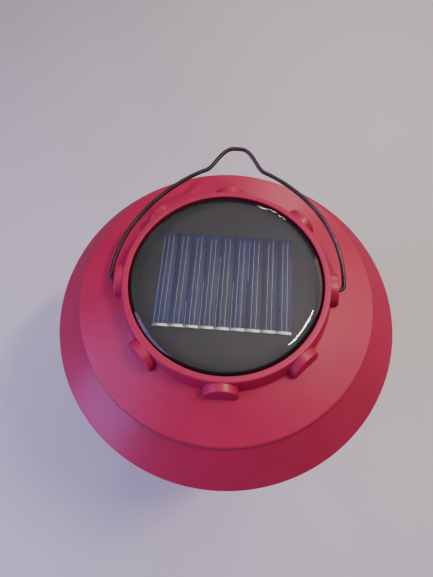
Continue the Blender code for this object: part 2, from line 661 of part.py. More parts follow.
def base_outline():
    seat = SOCKET_RADIUS
    return rounded([
        (seat, BASE_TOP, 0.0006),
        (seat + 0.0036, BASE_TOP, 0.0010),
        (0.0515, 0.0310, 0.0010),
        (0.0578, 0.0290, 0.0012),
        (0.0584, 0.0260, 0.0008),
        (BASE_RADIUS, 0.0140, 0.0020),
        (BASE_RADIUS, BASE_BOTTOM, 0.0006),
        (BASE_RADIUS - WALL, BASE_BOTTOM, 0),
        (BASE_RADIUS - WALL, 0.0132, 0),
        (0.0560, 0.0252, 0),
        (seat + WALL, 0.0280, 0),
        (seat + WALL, LEDGE_Z, 0),
        (0.0360, LEDGE_Z, 0),
        (0.0360, LEDGE_Z + 0.0020, 0),
        (seat, LEDGE_Z + 0.0020, 0),
    ])


def make_base():
    crimson = material("crimson_plastic", CRIMSON, 0.42)
    shell = add_object("base_shell", turned_mesh("base_shell", base_outline(), ROUND_SEGMENTS), crimson)
    floor_top = FLOOR_Z + 0.0030
    places = [on_circle(BASE_SCREW_CIRCLE, degrees) for degrees in (30, 150, 270)]
    posts = [round_tool(place, POST_RADIUS, floor_top + GAP, LEDGE_Z + 0.0008) for place in places]
    combine(shell, posts, "UNION")
    holes = [round_tool(place, SCREW_HOLE_RADIUS, floor_top - 0.001, LEDGE_Z - 0.002) for place in places]
    combine(shell, holes, "DIFFERENCE")

    plate = cylinder_mesh("base_floor", BASE_RADIUS - WALL - 0.0005, FLOOR_Z, floor_top, ROUND_SEGMENTS)
    floor = add_object("base_floor", plate, crimson)
    feet = [on_circle(FOOT_CIRCLE, degrees) for degrees in (90, 210, 330)]
    cut = [counterbore_tool(place, FLOOR_Z - 0.001, FLOOR_Z + 0.0016, floor_top + 0.001) for place in places]
    cut += [round_tool(foot, FOOT_RADIUS + 0.0004, FLOOR_Z - 0.001, FLOOR_Z + 0.0015, 20) for foot in feet]
    combine(floor, cut, "DIFFERENCE")
    for number, place in enumerate(places, 1):
        make_screw(f"base_screw_{number}", place, FLOOR_Z + 0.0016 - GAP, 0.0120)
    foot_top = FLOOR_Z + 0.0012
    pad = rounded([(0, 0, 0), (FOOT_RADIUS, 0, 0.0006), (FOOT_RADIUS, foot_top, 0), (0, foot_top, 0)])
    foot_mesh = turned_mesh("base_foot", pad, 20)
    rubber = material("foot_rubber", (0.02, 0.02, 0.02), 0.8)
    for number, (x, y) in enumerate(feet, 1):
        add_object(f"base_foot_{number}", foot_mesh, rubber, (x, y, 0))


def main():
    clear_scene()
    make_hood()
    make_panel()
    make_bail()
    make_underside_cover()
    make_button()
    make_light()
    make_control_board()
    make_battery()
    make_leads()
    make_globe()
    make_base()


main()
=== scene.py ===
"""Looks of the solar lantern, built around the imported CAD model.

The hood, resin dome, solar strips, solder tabs, bail, globe, base and feet are made again as fine meshes
in the places that the frame gives. The other pieces keep their CAD shape and get their materials here.
Lengths are in metres, and a size whose name ends in BELOW is measured down from the collar's top face.
"""
import json
import math

import bmesh
import bpy
import numpy as np
from mathutils import Matrix, Vector


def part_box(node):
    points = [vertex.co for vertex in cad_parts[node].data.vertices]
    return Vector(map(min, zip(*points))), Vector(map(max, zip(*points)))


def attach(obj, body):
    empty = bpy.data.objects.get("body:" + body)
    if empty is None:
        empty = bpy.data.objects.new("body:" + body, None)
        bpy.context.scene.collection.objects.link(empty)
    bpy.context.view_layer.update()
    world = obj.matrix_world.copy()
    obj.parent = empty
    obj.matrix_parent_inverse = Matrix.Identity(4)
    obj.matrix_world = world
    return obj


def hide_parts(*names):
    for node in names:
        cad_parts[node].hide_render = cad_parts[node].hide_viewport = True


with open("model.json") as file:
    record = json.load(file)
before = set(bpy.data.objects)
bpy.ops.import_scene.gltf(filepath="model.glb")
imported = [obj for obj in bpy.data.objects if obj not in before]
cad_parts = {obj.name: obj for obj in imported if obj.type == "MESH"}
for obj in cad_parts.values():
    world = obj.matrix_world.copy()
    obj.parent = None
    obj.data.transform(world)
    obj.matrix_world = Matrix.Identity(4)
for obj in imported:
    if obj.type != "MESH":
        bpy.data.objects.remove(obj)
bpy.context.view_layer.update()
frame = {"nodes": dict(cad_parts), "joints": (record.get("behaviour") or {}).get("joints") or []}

# ---------------------------------------------------------------- sizes from the frame
HOOD_LOW, HOOD_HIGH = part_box("hood_shell")
BASE_LOW, BASE_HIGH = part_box("base_shell")
GLOBE_LOW, GLOBE_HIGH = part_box("globe")
RESIN_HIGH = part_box("panel_resin")[1]
BOARD_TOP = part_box("panel_board")[1].z
STRIP_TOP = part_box("solar_strip_5")[1].z
TOP = HOOD_HIGH.z                   # collar's top face
RIM_RADIUS = HOOD_HIGH.x
PIVOT_Z = next(joint["pos_m"][2] for joint in frame["joints"] if joint["name"] == "bail_swing")

# ---------------------------------------------------------------- hood sizes
OPENING_RADIUS = 0.0493             # well that holds the panel
COLLAR_RADIUS = 0.0525
FOOT_RADIUS = 0.0545                # where the collar meets the upper tier
FOOT_BELOW = 0.0110
STEP_RADIUS = 0.0792                # edge between the two tiers
STEP_BELOW = 0.0190
STEP_DROP = 0.0038
STEP_FLARE = 0.0006
RIM_BELOW = 0.0443
WALL = 0.0024
DECK_BELOW = 0.0062                 # deck under the panel
DECK_HOLE_RADIUS = 0.0200
SKIRT_INSET = (0.0016, 0.0012)      # the skirt's inner top, in and down from the step's lower edge
STEP_INSET = 0.0022
FOOT_INSET = 0.0020
DECK_INSET = 0.0006

BOSS_COUNT = 8
BOSS_RADIUS = 0.0084
BOSS_ROOT = OPENING_RADIUS + 0.0012
BOSS_END = 0.0576
BOSS_DRAFT = 0.137                  # the end face leans out towards its foot
BOSS_LOWEST = -0.0043               # cut off flat below this height from the pivot, inside the wall
BOSS_ROUNDING = 0.0006
HOLE_REACH = (0.0515, 0.0600)       # start and end of the holes for the wire's ends
HOLE_PLAY = 0.0003

# ---------------------------------------------------------------- solar panel sizes
POUR_MARGIN = 0.0005                # the resin is poured right up to the collar
RESIN_SINK = 0.0002
BRIM_BELOW = 0.0015
SHOULDER_POWER = 7                  # a higher power makes a flatter crown and a fuller shoulder
SHADE_RIM_RADIUS = 0.0474               # outside this radius the resin is glossy black, painted shade that keeps the dome's rim dark

CELL_COUNT = 9
CELL_PITCH = 0.00746
CELL_GAP = 0.0002
CELL_LENGTH = 0.0520
CELL_SHEET = 0.00024                # thickness of a strip
CELL_DROP = 0.00025                 # from the CAD strips' top face down to a strip's underside
CELL_TURN = math.radians(-1.45)     # the row lies slightly askew on the board
CELL_MIDDLE = Vector((-0.0005, -0.0010, 0))
ROW_MIDDLE = 5.5                    # strip 5 starts half a pitch before the row's middle

FINGER_HALF_WIDTH = 0.00005
FINGER_THICKNESS = 0.00002
FINGER_SHARES = (0.05, 0.32)        # first finger's place and the spacing, as shares of a strip's width
FINGER_TRIM = 0.0022                # shares along a finger count on the strip's length less this,
FINGER_NEAR = 0.0018                # from this far in for its start,
FINGER_FAR = 0.0005                 # and from this far in for its end
FINGER_SHORTFALL = 0.0012           # the most that a finger stops short by chance
FINGER_WAVES = ((0.00007, 520, 1), (0.00004, 1400, 2))     # height, radians per metre, multiple of phase
PART_FINGERS = {                    # strips whose first finger isn't whole: its start and end shares
    2: (0, 0), 3: (0, 0.28), 4: (0, 0.50), 5: (0, 0.78), 6: (0, 0.52), 7: (0.5, 1), 8: (0, 0), 9: (0, 0),
}

TAB_DEPTH = 0.0017
TAB_GAP = 0.00024

# ---------------------------------------------------------------- bail sizes
WIRE_RADIUS = 0.0011
BAIL_TILT = math.radians(15)        # above flat, leaning back
BAIL_RADIUS = 0.0608                # 0.2 mm more than the CAD wire's, to pass clear of the rounded bosses
BAIL_SHOULDER = 0.00145             # the wire bulges to the right and is pulled in on the left
ARCH_HEIGHT = 0.0050
ARCH_SPREAD = 26.5                  # degrees
BUMP_HEIGHT = 0.0097
BUMP_MIDDLE = 2.2                   # degrees to the right of the bail's middle
BUMP_RIGHT = (2.0, 14.0)            # degrees from the bump's middle to the edge of its top, and to its foot
BUMP_LEFT = (1.5, 14.5)
FOOT_BEND = 0.0025                  # radius of the bends towards the pivot
FOOT_CIRCLE = 0.0606                # radius on which the bends start
WIRE_END = 0.0523
WIRE_CHAMFER = 0.0004
WIRE_END_TAPER = 0.85

# ---------------------------------------------------------------- globe and base sizes
NECK_RADIUS = 0.0460
GLOBE_WALL = 0.0022
BULGE_LOW, BULGE_HIGH = 0.0480, 0.1680
GLOBE_CORNER = 0.004                # rounding of the closed lower end
GLOBE_CORNER_INSIDE = 0.006         # height at which the inside starts to turn in
GLOBE_EDGE = 0.0006                 # rounding of the open upper end

SEAT_RADIUS = 0.0469                # socket for the globe's neck
SEAT_FLOOR = 0.0220
SEAT_LIP = 0.0036
SHELF_HOLE = 0.0360
SHELF_UNDER = 0.0200
BASE_TIERS = [                      # the tiers' outer corners: radius, height and rounding
    (0.0515, 0.0310, 0.0010), (0.0578, 0.0290, 0.0012), (0.0584, 0.0260, 0.0008),
    (BASE_HIGH.x, 0.0140, 0.0020),
]
BASE_INSIDE = [(0.0560, 0.0252, 0), (SEAT_RADIUS + WALL, 0.0280, 0)]


# ---------------------------------------------------------------- mesh helpers
def shade(mesh, angle=40):
    mesh.shade_smooth()
    mesh.set_sharp_from_angle(angle=math.radians(angle))
    return mesh


def mesh_from(bm, name, angle=40):
    bmesh.ops.recalc_face_normals(bm, faces=bm.faces)
    mesh = bpy.data.meshes.new(name)
    bm.to_mesh(mesh)
    bm.free()
    return shade(mesh, angle)


def in_scene(name, data):
    made = bpy.data.objects.new(name, data)
    bpy.context.scene.collection.objects.link(made)
    return made


def add_piece(name, mesh, body, finish, replaced=()):
    """Puts a mesh in the scene as a piece that rides on a body and stands for CAD nodes."""
    made = in_scene(name, mesh)
    if finish is not None:
        mesh.materials.append(finish)
    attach(made, body)
    if replaced:
        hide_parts(*replaced)
    return made


def rounded(corners, steps=6):
    """An outline whose corners (r, z, radius) are rounded by arcs, with a support point beside each arc."""
    points = []
    support = 0.0003
    for index, (r, z, radius) in enumerate(corners):
        corner = Vector((r, z))
        if radius == 0:
            points.append(corner)
            continue
        before = (Vector(corners[index - 1][:2]) - corner).normalized()
        after = (Vector(corners[(index + 1) % len(corners)][:2]) - corner).normalized()
        half = before.angle(after) / 2
        reach = radius / math.tan(half)
        start = corner + before * reach
        end = corner + after * reach
        centre = corner + (before + after).normalized() * radius / math.sin(half)
        first = start - centre
        sweep = first.angle_signed(end - centre)
        points.append(start + before * support)
        for step in range(steps + 1):
            points.append(centre + Matrix.Rotation(-sweep * step / steps, 2) @ first)
        points.append(end + after * support)
    return [(point.x, point.y) for point in points]


def full_turn(sides):
    return [2 * math.pi * k / sides for k in range(sides)]


def turned(name, outline, segments=128, angle=40):
    """A closed solid of revolution about Z; a point on the axis becomes one vertex."""
    on_axis = 1e-7
    bm = bmesh.new()
    rings = []
    for radius, z in outline:
        if radius < on_axis:
            rings.append([bm.verts.new((0, 0, z))])
            continue
        rings.append([bm.verts.new((radius * math.cos(a), radius * math.sin(a), z))
                      for a in full_turn(segments)])
    join_rings(bm, rings, segments, closed=True)
    return mesh_from(bm, name, angle)


def join_rings(bm, rings, segments, closed):
    """Faces between rings that follow each other; a ring of one vertex makes a fan."""
    pairs = zip(rings, rings[1:] + rings[:1]) if closed else zip(rings, rings[1:])
    for ring, following in pairs:
        if len(ring) == 1 and len(following) == 1:
            continue
        for k in range(segments):
            n = (k + 1) % segments
            if len(ring) == 1:
                bm.faces.new((ring[0], following[n], following[k]))
            elif len(following) == 1:
                bm.faces.new((ring[k], ring[n], following[0]))
            else:
                bm.faces.new((ring[k], ring[n], following[n], following[k]))


def closed_tube(bm, rings, name, angle=40):
    """A mesh with walls between the rings and a flat face at each end."""
    join_rings(bm, rings, len(rings[0]), closed=False)
    bm.faces.new(rings[0])
    bm.faces.new(rings[-1])
    return mesh_from(bm, name, angle)


def rounded_box(name, low, high, radius):
    bm = bmesh.new()
    size = high - low
    middle = (high + low) / 2
    bmesh.ops.create_cube(bm, size=1, matrix=Matrix.Translation(middle) @ Matrix.Diagonal((*size, 1)))
    bmesh.ops.bevel(bm, geom=bm.edges[:], offset=radius, segments=2, profile=0.5, affect="EDGES")
    return mesh_from(bm, name)


def combine(target, tools, operation):
    """Joins tools to a piece, or cuts them out of it, with exact Booleans, then removes them."""
    for tool in tools:
        step = target.modifiers.new("combine", "BOOLEAN")
        step.operation = operation
        step.solver = "EXACT"
        step.object = tool
    bpy.context.view_layer.update()
    evaluated = target.evaluated_get(bpy.context.evaluated_depsgraph_get())
    result = bpy.data.meshes.new_from_object(evaluated)
    weld = 2e-6                         # closes the slivers that the Booleans leave
    bm = bmesh.new()
    bm.from_mesh(result)
    bmesh.ops.remove_doubles(bm, verts=bm.verts, dist=weld)
    bm.to_mesh(result)
    bm.free()
    target.modifiers.clear()
    target.data = shade(result)
    for tool in tools:
        bpy.data.objects.remove(tool, do_unlink=True)


def tool_cylinder(radius, start, end):
    """A cylinder between two points, used only to cut."""
    bm = bmesh.new()
    place = Matrix.Translation((start + end) / 2) @ (end - start).to_track_quat("Z", "Y").to_matrix().to_4x4()
    bmesh.ops.create_cone(bm, cap_ends=True, segments=32, radius1=radius, radius2=radius,
                          depth=(end - start).length, matrix=place)
    return in_scene("tool", mesh_from(bm, "tool"))


# ---------------------------------------------------------------- material helpers
class Finish:
    """Builds one node material around a Principled shader."""

    def __init__(self, name):
        self.material = bpy.data.materials.new(name)
        self.material.use_nodes = True
        self.tree = self.material.node_tree
        self.shader = self.tree.nodes["Principled BSDF"]
        self.place = self.node("ShaderNodeTexCoord").outputs["Object"]

    def node(self, kind):
        return self.tree.nodes.new(kind)

    def link(self, source, target):
        self.tree.links.new(source, target)

    def set(self, **values):
        for key, value in values.items():
            self.shader.inputs[key.replace("_", " ")].default_value = value
        return self

    def stretched(self, scale, rotation):
        """Object coordinates scaled along each axis, for marks that run one way."""
        mapping = self.node("ShaderNodeMapping")
        mapping.inputs["Scale"].default_value = scale
        mapping.inputs["Rotation"].default_value = rotation
        self.link(self.place, mapping.inputs["Vector"])
        return mapping.outputs["Vector"]

    def noise(self, scale, detail=3.0, roughness=0.5, vector=None):
        made = self.node("ShaderNodeTexNoise")
        made.inputs["Scale"].default_value = scale
        made.inputs["Detail"].default_value = detail
        made.inputs["Roughness"].default_value = roughness
        self.link(vector or self.place, made.inputs["Vector"])
        return made.outputs["Fac"]

    def colour(self, factor, stops):
        """Base colours read off a factor; stops are (position, colour)."""
        made = self.node("ShaderNodeValToRGB")
        elements = made.color_ramp.elements
        while len(elements) < len(stops):
            elements.new(0.5)
        for element, (position, colour) in zip(elements, stops):
            element.position = position
            element.color = (*colour, 1.0)
        self.link(factor, made.inputs["Fac"])
        self.link(made.outputs["Color"], self.shader.inputs["Base Color"])
        return self

    def roughness(self, factor, low, high):
        """Roughness between two values, over the middle of a noise's range."""
        made = self.node("ShaderNodeMapRange")
        made.inputs["From Min"].default_value = 0.3
        made.inputs["From Max"].default_value = 0.7
        made.inputs["To Min"].default_value = low
        made.inputs["To Max"].default_value = high
        self.link(factor, made.inputs["Value"])
        self.link(made.outputs["Result"], self.shader.inputs["Roughness"])
        return self

    def bump(self, layers):
        """Stacks bumps; each layer is (height, strength, distance)."""
        normal = None
        for height, strength, distance in layers:
            made = self.node("ShaderNodeBump")
            made.inputs["Strength"].default_value = strength
            made.inputs["Distance"].default_value = distance
            self.link(height, made.inputs["Height"])
            if normal is not None:
                self.link(normal, made.inputs["Normal"])
            normal = made.outputs["Normal"]
        self.link(normal, self.shader.inputs["Normal"])
        return self


def shift(colour, amount):
    return tuple(min(1.0, max(0.0, part * amount)) for part in colour)


# ---------------------------------------------------------------- materials
def moulded_plastic(name, colour, low, high, coat=0.15):
    """Moulded plastic: faint cloudy colour, uneven gloss, and a fine sparked grain."""
    made = Finish(name)
    made.colour(made.noise(22, 5, 0.6), [
        (0.30, shift(colour, 0.93)), (0.5, colour), (0.72, shift(colour, 1.06)),
    ])
    made.roughness(made.noise(60, 6, 0.65), low, high)
    made.bump([(made.noise(2600, 2), 0.12, 0.00005), (made.noise(45, 2), 0.10, 0.0003)])
    return made.set(Coat_Weight=coat, Coat_Roughness=0.25, IOR=1.49).material


def rubber(name, colour):
    """Soft rubber: mottled, dull and finely grained."""
    made = Finish(name)
    made.colour(made.noise(120, 4), [(0.3, shift(colour, 0.8)), (0.7, shift(colour, 1.3))])
    made.roughness(made.noise(200, 3), 0.55, 0.78)
    made.bump([(made.noise(1800, 2), 0.25, 0.00006)])
    return made.set(IOR=1.45).material


def bare_metal(name, colour, low, high):
    """Plated metal with fine marks and uneven gloss."""
    made = Finish(name)
    made.colour(made.noise(160, 4), [(0.3, shift(colour, 0.75)), (0.7, shift(colour, 1.15))])
    made.roughness(made.noise(400, 4), low, high)
    made.bump([(made.noise(1500, 3), 0.15, 0.00004)])
    return made.set(Metallic=1.0).material


def wire_steel():
    """Dark oiled wire: a brown-black oxide skin, thinner and brighter in places."""
    made = Finish("wire_steel")
    made.colour(made.noise(90, 5, 0.7), [
        (0.35, (0.030, 0.020, 0.020)), (0.6, (0.070, 0.048, 0.044)), (0.8, (0.13, 0.10, 0.09)),
    ])
    made.roughness(made.noise(300, 4), 0.30, 0.46)
    made.bump([(made.noise(900, 3), 0.2, 0.00006)])
    return made.set(Metallic=0.6, Coat_Weight=0.15, Coat_Roughness=0.3).material


def clear_resin():
    """Cast clear resin with the faintest ripple in its skin."""
    made = Finish("clear_resin")
    made.bump([(made.noise(28, 2), 0.06, 0.0006)])
    made.roughness(made.noise(70, 4), 0.015, 0.05)
    made.colour(made.noise(30, 2), [(0.3, (0.93, 0.94, 0.95)), (0.7, (0.97, 0.97, 0.96))])
    return made.set(Transmission_Weight=1.0, IOR=1.5).material


def panel_black():
    """Black lacquered board under the resin, a little uneven."""
    made = Finish("panel_black")
    made.colour(made.noise(60, 4), [(0.3, (0.026, 0.025, 0.028)), (0.7, (0.036, 0.033, 0.034))])
    made.roughness(made.noise(90, 4), 0.30, 0.5)
    made.bump([(made.noise(70, 2), 0.05, 0.0002)])
    return made.set(Coat_Weight=0.1, Coat_Roughness=0.3).material


def painted_shade_rim():
    """Painted shade: glossy black on the resin's rim and underside, so that the dome's edge stays dark beside
    the collar.
    """
    made = Finish("painted_shade_rim")
    made.colour(made.noise(80, 3), [(0.3, (0.004, 0.004, 0.005)), (0.7, (0.009, 0.009, 0.010))])
    made.roughness(made.noise(70, 4), 0.03, 0.08)
    made.bump([(made.noise(28, 2), 0.06, 0.0006)])
    return made.set(IOR=1.5).material


def silicon():
    """Cut silicon: navy and slate bands that run along the strips, with finer streaks in their gloss."""
    made = Finish("silicon")
    along = (0, 0, CELL_TURN)
    made.colour(made.noise(75, 2, 0.6, made.stretched((1, 0.12, 1), along)), [
        (0.36, (0.026, 0.048, 0.155)), (0.50, (0.045, 0.045, 0.112)), (0.64, (0.064, 0.050, 0.095)),
    ])
    made.roughness(made.noise(400, 2, 0.5, made.stretched((1, 0.03, 1), along)), 0.26, 0.34)
    made.bump([(made.noise(2200, 2), 0.12, 0.00003)])
    return made.set(Coat_Weight=0.3, Coat_Roughness=0.08).material


def printed_silver():
    """Thin fired silver paste, paler where it is thicker."""
    made = Finish("printed_silver")
    made.colour(made.noise(900, 3), [(0.3, (0.66, 0.76, 0.98)), (0.7, (0.84, 0.90, 1.0))])
    made.roughness(made.noise(1500, 2), 0.20, 0.32)
    made.bump([(made.noise(3000, 2), 0.1, 0.00002)])
    return made.set(Metallic=0.9).material


def solder():
    """Tinned ribbon: bright, with soft dull patches where the solder ran."""
    made = Finish("solder")
    made.colour(made.noise(350, 4, 0.6), [(0.35, (0.86, 0.82, 0.70)), (0.55, (0.98, 0.97, 0.92))])
    made.roughness(made.noise(500, 3), 0.08, 0.20)
    made.bump([(made.noise(700, 3), 0.25, 0.00005)])
    return made.set(Metallic=1.0).material


def opal():
    """Milky diffusing plastic."""
    made = Finish("opal")
    made.colour(made.noise(14, 3), [(0.3, (0.80, 0.80, 0.77)), (0.7, (0.87, 0.87, 0.85))])
    made.roughness(made.noise(50, 5), 0.24, 0.36)
    made.bump([(made.noise(1500, 2), 0.08, 0.00004)])
    made.set(Subsurface_Weight=0.35, Subsurface_Radius=(0.012, 0.011, 0.009), Subsurface_Scale=0.4)
    return made.set(Coat_Weight=0.3, Coat_Roughness=0.12, IOR=1.5).material


def circuit_board(name, colour):
    """Lacquered board: a weave of glass cloth under the lacquer."""
    made = Finish(name)
    weave = made.node("ShaderNodeTexBrick")
    weave.inputs["Scale"].default_value = 900
    made.link(made.place, weave.inputs["Vector"])
    made.colour(made.noise(260, 3), [(0.35, shift(colour, 0.85)), (0.65, shift(colour, 1.15))])
    made.roughness(made.noise(120, 3), 0.28, 0.42)
    made.bump([(weave.outputs["Fac"], 0.1, 0.00003)])
    return made.set(Coat_Weight=0.3, Coat_Roughness=0.15).material


def phosphor():
    """Yellow phosphor over an LED chip."""
    made = Finish("phosphor")
    made.colour(made.noise(900, 3), [(0.3, (0.80, 0.62, 0.10)), (0.7, (0.88, 0.76, 0.22))])
    made.roughness(made.noise(400, 3), 0.3, 0.5)
    made.bump([(made.noise(1800, 2), 0.1, 0.00003)])
    return made.material


def window_plastic():
    """Clear plastic over the LEDs, faintly frosted."""
    made = Finish("window_plastic")
    made.roughness(made.noise(150, 4), 0.12, 0.28)
    made.bump([(made.noise(500, 2), 0.1, 0.0001)])
    return made.set(Transmission_Weight=1.0, IOR=1.49).material


def pale_floor():
    """Matt pale paint."""
    made = Finish("pale_floor")
    made.colour(made.noise(3, 3), [(0.3, (0.60, 0.60, 0.60)), (0.7, (0.64, 0.64, 0.635))])
    made.roughness(made.noise(12, 3), 0.55, 0.7)
    return made.material


CRIMSON = moulded_plastic("crimson_plastic", (0.43, 0.011, 0.062), 0.36, 0.46, 0.0)
WHITE = moulded_plastic("white_plastic", (0.78, 0.78, 0.76), 0.30, 0.42)
BLACK = moulded_plastic("black_plastic", (0.016, 0.016, 0.017), 0.40, 0.55)


# ---------------------------------------------------------------- hood
def cone_z(radius):
    """Height of the upper tier's outer surface, relative to the collar's top."""
    share = (radius - FOOT_RADIUS) / (STEP_RADIUS - FOOT_RADIUS)
    return -FOOT_BELOW - share * (STEP_BELOW - FOOT_BELOW)


def outer_corners():
    """The hood's outer corners from the panel opening to the rim, relative to the collar's top."""
    return [
        (OPENING_RADIUS, 0, 0.0005),
        (COLLAR_RADIUS, 0, 0.0009),
        (FOOT_RADIUS, -FOOT_BELOW, 0.0010),
        (STEP_RADIUS, -STEP_BELOW, 0.0014),
        (STEP_RADIUS + STEP_FLARE, -STEP_BELOW - STEP_DROP, 0.0008),
        (RIM_RADIUS, -RIM_BELOW, 0.0010),
        (RIM_RADIUS, HOOD_LOW.z - TOP, 0.0005),
    ]


def hood_outline():
    """The hood's closed section: outside, rim lip, inside, deck under the panel and panel opening."""
    deck = TOP - DECK_BELOW
    inside = [
        (RIM_RADIUS - WALL, HOOD_LOW.z),
        (STEP_RADIUS - SKIRT_INSET[0], TOP - STEP_BELOW - STEP_DROP - SKIRT_INSET[1]),
        (STEP_RADIUS - STEP_INSET, TOP + cone_z(STEP_RADIUS) - WALL),
        (FOOT_RADIUS - FOOT_INSET, TOP + cone_z(FOOT_RADIUS) - WALL),
        (OPENING_RADIUS - DECK_INSET, deck - WALL),
        (DECK_HOLE_RADIUS, deck - WALL),
        (DECK_HOLE_RADIUS, deck),
        (OPENING_RADIUS, deck),
    ]
    corners = [(r, TOP + below, radius) for r, below, radius in outer_corners()]
    return rounded(corners + [(r, height, 0) for r, height in inside], 8)


def boss_mesh():
    """A boss along +X: a round stub with a rounded rim on its drafted end face, sunk into the wall below."""
    arc_steps = 6
    stations = [(BOSS_ROOT, 0.0)]
    for step in range(arc_steps + 1):
        turn = math.pi / 2 * step / arc_steps
        stations.append((BOSS_END - BOSS_ROUNDING * (1 - math.sin(turn)),
                         BOSS_ROUNDING * (1 - math.cos(turn))))
    stations.append((BOSS_END, BOSS_RADIUS * 0.5))
    bm = bmesh.new()
    rings = []
    for reach, inset in stations:
        draft = BOSS_DRAFT if reach > COLLAR_RADIUS else 0.0
        ring = []
        for turn in full_turn(72):
            width = (BOSS_RADIUS - inset) * math.cos(turn)
            height = max((BOSS_RADIUS - inset) * math.sin(turn), BOSS_LOWEST)
            ring.append(bm.verts.new((reach - height * draft, width, height + PIVOT_Z)))
        rings.append(ring)
    return closed_tube(bm, rings, "boss", 60)


def make_hood():
    """The moulding as one mesh: the turned shell with its bosses joined on and the wire's holes cut out."""
    mesh = turned("hood_moulding", hood_outline(), segments=288, angle=50)
    hood = add_piece("hood_moulding", mesh, "lantern", CRIMSON, ["hood_shell"])
    bosses = []
    for turn in full_turn(BOSS_COUNT):
        boss = in_scene("tool", boss_mesh())
        boss.matrix_world = Matrix.Rotation(turn, 4, "Z")
        bosses.append(boss)
    combine(hood, bosses, "UNION")
    start, end = (Vector((reach, 0, 0)) for reach in HOLE_REACH)
    pivot = Vector((0, 0, PIVOT_Z))
    holes = [tool_cylinder(WIRE_RADIUS + HOLE_PLAY, pivot + side * start, pivot + side * end)
             for side in (-1, 1)]
    combine(hood, holes, "DIFFERENCE")


# ---------------------------------------------------------------- solar panel
def make_resin():
    """A domed casting with a full shoulder, poured round the strips; its rim and underside are black, as
    painted shade.
    """
    edge = RESIN_HIGH.x + POUR_MARGIN
    crown = RESIN_HIGH.z
    bottom = BOARD_TOP - RESIN_SINK
    brim = TOP - BRIM_BELOW
    chamfer = 0.0002
    outline = [(0, bottom), (edge - chamfer, bottom), (edge, bottom + chamfer)]
    steps = 28
    for step in range(steps + 1):
        share = math.cos(math.pi / 2 * step / steps) ** 0.5
        outline.append((edge * share, brim + (crown - brim) * math.sqrt(1 - share ** SHOULDER_POWER)))
    mesh = turned("resin_dome", outline, segments=180, angle=60)
    mesh.materials.append(clear_resin())
    mesh.materials.append(painted_shade_rim())
    # faces outside the rim radius get the black of painted shade
    for face in mesh.polygons:
        if Vector(face.center[:2]).length > SHADE_RIM_RADIUS:
            face.material_index = 1
    add_piece("resin_dome", mesh, "lantern", None, ["panel_resin"])


def onto_cells(mesh):
    """Moves a mesh from the strips' own axes, x across them and y along them, to its place on the board."""
    mesh.transform(Matrix.Translation(CELL_MIDDLE) @ Matrix.Rotation(CELL_TURN, 4, "Z"))
    return mesh


def cell_box(name, left, wide, deep, bottom, thick, radius):
    """A thin rounded box on the strips, from their front ends back."""
    low = Vector((left, -CELL_LENGTH / 2, bottom))
    return onto_cells(rounded_box(name, low, low + Vector((wide, deep, thick)), radius))


def finger_mesh(name, lines):
    """Printed lines as thin ribbons that waver a little; each is (x, start, end, phase)."""
    bm = bmesh.new()
    steps = 26
    corners = [(-FINGER_HALF_WIDTH, 0), (FINGER_HALF_WIDTH, 0), (FINGER_HALF_WIDTH, FINGER_THICKNESS),
               (-FINGER_HALF_WIDTH, FINGER_THICKNESS)]
    for x, start, end, phase in lines:
        rings = []
        for step in range(steps + 1):
            y = start + (end - start) * step / steps
            waver = sum(height * math.sin(y * rate + times * phase) for height, rate, times in FINGER_WAVES)
            rings.append([bm.verts.new((x + waver + across, y, STRIP_TOP + up)) for across, up in corners])
        join_rings(bm, rings, 4, closed=False)
        bm.faces.new(rings[0])
        bm.faces.new(rings[-1])
    return onto_cells(mesh_from(bm, name))


def finger_lines(number, left, wide, rng):
    """The three fingers of a strip; the first may be printed only in part, or not at all."""
    first, spacing = FINGER_SHARES
    front = -CELL_LENGTH / 2
    length = CELL_LENGTH - FINGER_TRIM
    lines = []
    for k, (start, end) in enumerate([PART_FINGERS.get(number, (0, 1)), (0, 1), (0, 1)]):
        if end > start:
            far = front + FINGER_FAR + length * end - rng.uniform(0, FINGER_SHORTFALL)
            near = front + FINGER_NEAR + length * start
            share = first + spacing * k + rng.uniform(-0.01, 0.01)
            lines.append((left + wide * share, near, far, rng.uniform(0, 6)))
    return lines


def make_cells():
    """Silicon strips with printed fingers."""
    silicon_finish = silicon()
    finger_finish = printed_silver()
    rng = np.random.default_rng(7)
    wide = CELL_PITCH - CELL_GAP
    for number in range(1, CELL_COUNT + 1):
        left = (number - ROW_MIDDLE) * CELL_PITCH + CELL_GAP / 2
        strip = f"cell_strip_{number}"
        mesh = cell_box(strip, left, wide, CELL_LENGTH, STRIP_TOP - CELL_DROP, CELL_SHEET, radius=0.00006)
        add_piece(strip, mesh, "lantern", silicon_finish, [f"solar_strip_{number}"])
        fingers = f"cell_fingers_{number}"
        add_piece(fingers, finger_mesh(fingers, finger_lines(number, left, wide, rng)), "lantern",
                  finger_finish)


def make_tabs():
    """Soldered tabs end to end along the front of the strips, each at a slight angle of its own."""
    rng = np.random.default_rng(3)
    finish = solder()
    for number in range(1, CELL_COUNT + 1):
        low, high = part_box(f"cell_tab_{number}")
        left = (number - ROW_MIDDLE) * CELL_PITCH + TAB_GAP / 2
        name = f"solder_tab_{number}"
        mesh = cell_box(name, left, CELL_PITCH - TAB_GAP, TAB_DEPTH, low.z, high.z - low.z, radius=0.00009)
        middle = (low + high) / 2
        turn = Matrix.Rotation(rng.uniform(-0.020, 0.012), 4, "Z")
        tip = Matrix.Rotation(rng.uniform(-0.03, 0.03), 4, "X")
        mesh.transform(Matrix.Translation(middle) @ turn @ tip @ Matrix.Translation(-middle))
        add_piece(name, mesh, "lantern", finish, [f"cell_tab_{number}"])


